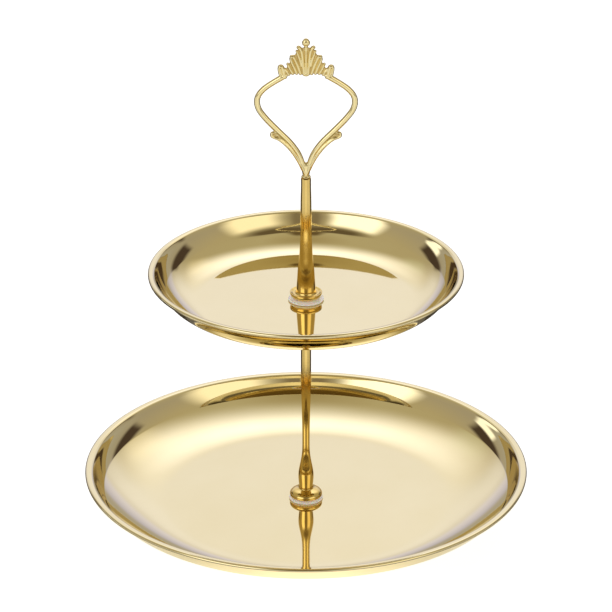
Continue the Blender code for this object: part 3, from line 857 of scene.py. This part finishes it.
def studio_world():
    """Soft studio: a warm grey room with a big light high behind the stand, a backdrop that brightens
    towards its foot, two broad lights in front, and dark cards. The camera sees only plain white."""
    world = bpy.data.worlds.new("studio")
    bpy.context.scene.world = world
    world.use_nodes = True
    nodes = Nodes(world.node_tree)
    background = world.node_tree.nodes["Background"]
    look = nodes.add("ShaderNodeTexCoord").outputs["Generated"]
    split = nodes.add("ShaderNodeSeparateXYZ")
    nodes.wire(look, split.inputs[0])
    elevation = nodes.maths("ARCSINE", split.outputs["Z"])
    azimuth = nodes.maths("ARCTAN2", split.outputs["X"], split.outputs["Y"])
    from_back = nodes.maths("ABSOLUTE", azimuth)
    from_front = nodes.maths("SUBTRACT", math.pi, from_back)

    def patch(place, low, high, blur):
        """1 between low and high degrees, fading out over blur degrees at each side."""
        half = blur / 2
        edges = [math.radians(edge) for edge in (low - half, low + half, high - half, high + half)]
        rise = nodes.ranged(place, edges[0], edges[1], 0.0, 1.0, smooth=True)
        fall = nodes.ranged(place, edges[2], edges[3], 1.0, 0.0, smooth=True)
        return nodes.maths("MULTIPLY", rise, fall)

    total = nodes.ramp(nodes.ranged(elevation, math.radians(-5.0), math.radians(90.0), 0.0, 1.0),
                       (0.0, (0.46, 0.46, 0.47)), (0.16, (0.40, 0.37, 0.33)), (0.45, (0.47, 0.42, 0.30)),
                       (0.80, (0.485, 0.44, 0.31)), (1.0, (0.38, 0.32, 0.19)))

    # the big light, brightest in the middle
    away = nodes.vector("SUBTRACT", look, direction(4.0, 50.0))
    away = nodes.vector("MULTIPLY", away, (0.95, 1.0, 1.0))
    share = nodes.ranged(nodes.vector("LENGTH", away), 0.0, 0.57, 1.0, 0.0, smooth=True)
    total = nodes.mixed(share, total, (0.80, 0.88, 1.22, 1.0), "ADD")

    # cards: what the angle round the stand is measured from, its range and blur, the range and blur
    # of the elevation, the colour, and whether it adds to the room or covers it
    backdrop = (
        (azimuth, (-38.0, 42.0, 28.0), (14.0, 58.0, 24.0), (0.27, 0.28, 0.35), "ADD"),
        (azimuth, (-26.0, 26.0, 24.0), (13.0, 24.5, 7.0), (0.13, 0.13, 0.16), "ADD"),
        (azimuth, (-34.0, 34.0, 20.0), (18.0, 28.0, 7.0), (0.10, 0.13, 0.24), "ADD"),
        (azimuth, (-40.0, 40.0, 16.0), (10.5, 17.5, 4.0), (0.05, 0.08, 0.36), "ADD"),
        (azimuth, (24.0, 50.0, 14.0), (34.0, 46.0, 8.0), (0.15, 0.14, 0.11), "ADD"),
        (azimuth, (-50.0, -26.0, 14.0), (34.0, 46.0, 8.0), (0.06, 0.09, 0.09), "ADD"),
    )
    dark_overhead = (
        (from_front, (-90.0, 62.0, 30.0), (47.0, 64.0, 10.0), (0.13, 0.10, 0.06), "MIX"),
        (from_front, (-90.0, 28.0, 20.0), (64.0, 79.0, 8.0), (0.14, 0.10, 0.05), "MIX"),
    )
    sides = (
        (from_back, (42.0, 74.0, 8.0), (12.0, 24.0, 5.0), (0.07, 0.05, 0.04), "MIX"),
        (azimuth, (-76.0, -58.0, 5.0), (5.0, 12.0, 3.0), (1.35, 1.38, 1.46), "MIX"),
    )
    front_lights = (
        (azimuth, (114.0, 156.0, 18.0), (8.0, 42.0, 10.0), (1.25, 1.18, 1.00), "MIX"),
        (azimuth, (-158.0, -116.0, 14.0), (8.0, 43.0, 10.0), (1.60, 1.60, 1.60), "MIX"),
        (from_front, (-90.0, 13.0, 10.0), (-30.0, 48.0, 10.0), (0.24, 0.20, 0.14), "MIX"),
    )
    for around, across, up, colour, blend in backdrop + dark_overhead + sides + front_lights:
        share = nodes.maths("MULTIPLY", patch(around, *across), patch(elevation, *up))
        total = nodes.mixed(share, total, (*colour, 1.0), blend)
    seen = nodes.add("ShaderNodeLightPath").outputs["Is Camera Ray"]
    nodes.wire(nodes.mixed(seen, total, (1.0, 1.0, 1.0, 1.0)), background.inputs["Color"])


def floor_disc():
    """White floor, which glows so that it reads as white paper; the camera sees it plain. Mirrors see it
    dimmer, with painted light
    and painted shade: brighter under the stand, straight ahead of it and far away, and painted shade in a
    ring round it and at its back corners."""
    bm = bmesh.new()
    bmesh.ops.create_circle(bm, cap_ends=True, segments=96, radius=FLOOR_RADIUS)
    mesh = bpy.data.meshes.new("floor")
    bm.to_mesh(mesh)
    bm.free()
    floor = bpy.data.objects.new("floor", mesh)
    floor.location = (0.0, 0.0, -FLOOR_DROP)
    bpy.context.scene.collection.objects.link(floor)
    material, nodes, shader, place = new_material("floor_white")
    shader.inputs["Roughness"].default_value = 0.9
    shader.inputs["Specular IOR Level"].default_value = 0.0
    shader.inputs["Emission Color"].default_value = (1.0, 1.0, 1.0, 1.0)
    split = nodes.add("ShaderNodeSeparateXYZ")
    nodes.wire(place, split.inputs[0])
    forwards = nodes.maths("MULTIPLY", split.outputs["Y"], -1.0)
    from_front = nodes.maths("ABSOLUTE", nodes.maths("ARCTAN2", split.outputs["X"], forwards))
    distance = nodes.vector("LENGTH", place)

    def by_distance(start, end, before, after):
        return nodes.ranged(distance, start, end, before, after, smooth=True)

    def by_angle(start, end, before, after):
        return nodes.ranged(from_front, math.radians(start), math.radians(end), before, after, smooth=True)

    # painted shade seen only in mirrors: a dark patch at the back corners and a dark ring round the stand,
    # standing for shadow
    behind = nodes.maths("MULTIPLY", by_angle(84.0, 104.0, 0.0, 1.0), by_angle(150.0, 168.0, 1.0, 0.0))
    behind = nodes.maths("MULTIPLY", behind, by_distance(0.150, 0.175, 0.0, 1.0))
    shade_ring = nodes.maths("MULTIPLY", by_distance(0.147, 0.153, 0.0, 0.85),
                             by_distance(0.184, 0.198, 1.0, 0.0))
    shade = nodes.maths("MAXIMUM", behind, shade_ring)

    # painted light seen only in mirrors: a bright pool under the stand, a lane and a patch straight ahead,
    # and a brighter far floor
    pool = by_distance(0.134, 0.148, 0.30, 0.08)
    far = by_distance(0.40, 0.50, 0.0, 0.10)
    lane = nodes.maths("MULTIPLY", by_angle(7.0, 24.0, 1.0, 0.0), 0.22)
    ahead = nodes.maths("MULTIPLY", by_angle(22.0, 42.0, 0.22, 0.0), by_distance(0.24, 0.30, 1.0, 0.0))
    light = nodes.maths("ADD", nodes.maths("ADD", pool, nodes.maths("ADD", far, lane)), ahead)

    ray = nodes.add("ShaderNodeLightPath")
    mirror = ray.outputs["Is Glossy Ray"]
    dim = nodes.maths("MULTIPLY", mirror, shade)
    tone = nodes.mixed(dim, (0.66, 0.67, 0.70, 1.0), (0.10, 0.09, 0.08, 1.0))
    nodes.wire(tone, shader.inputs["Base Color"])
    glow = nodes.maths("ADD", nodes.ranged(ray.outputs["Is Camera Ray"], 0.0, 1.0, 0.22, 0.80),
                       nodes.maths("MULTIPLY", mirror, light))
    glow = nodes.maths("MULTIPLY", glow, nodes.maths("SUBTRACT", 1.0, dim))
    nodes.wire(glow, shader.inputs["Emission Strength"])
    mesh.materials.append(material)


def camera():
    """Looks down at the stand from the front, at the photograph's own angle and distance."""
    data = bpy.data.cameras.new("camera")
    data.sensor_width = CAMERA_SENSOR
    data.lens = CAMERA_LENS
    data.clip_end = 30.0
    obj = bpy.data.objects.new("camera", data)
    obj.location = CAMERA_PLACE
    obj.rotation_euler = (math.radians(90.0 - CAMERA_DOWN), 0.0, 0.0)
    bpy.context.scene.collection.objects.link(obj)
    bpy.context.scene.camera = obj


def main():
    bpy.context.scene.view_settings.view_transform = "Standard"
    plate = plate_gold()
    cast = cast_gold()
    turned = turned_gold()
    steel = plated_steel()
    milky = milky_plastic()
    clear = clear_rubber()

    dish("lower_dish", LOWER_DISH, "lower_plate", "base", plate)
    dish("upper_dish", UPPER_DISH, "upper_plate", "tier", plate)
    stem_rod(turned)
    handle_post(turned)
    crown_casting(cast)
    stud("stem_stud", "rod_stud", "stem", THREAD_RADIUS, THREAD_PITCH, THREAD_DEPTH, steel)
    stud("loop_pin", "loop_stud", "handle", PIN_RADIUS, PIN_PITCH, PIN_THREAD, steel)
    fixing_screw(steel)
    ring("screw_washer", "bottom_washer", "screw_washer", "plated_steel", WASHER_RADIUS, 0.18 * MM, steel)
    ring("gasket_under_lower", "lower_gasket_bottom", "base", "milky_plastic", GASKET_RADIUS,
         0.35 * MM, milky)
    ring("gasket_on_lower", "lower_gasket_top", "base", "milky_plastic", GASKET_RADIUS - 0.3 * MM,
         0.3 * MM, milky, shoulder=0.7 * MM)
    ring("gasket_under_upper", "upper_gasket_bottom", "stem", "milky_plastic", GASKET_RADIUS,
         0.35 * MM, milky)
    ring("gasket_on_upper", "upper_gasket_top", "handle_gasket", "milky_plastic", GASKET_RADIUS,
         0.45 * MM, milky, shoulder=0.4 * MM)
    for number in range(1, 5):
        bumper(f"bumper_{number}", f"foot_{number}", clear)

    studio_world()
    floor_disc()
    camera()


main()
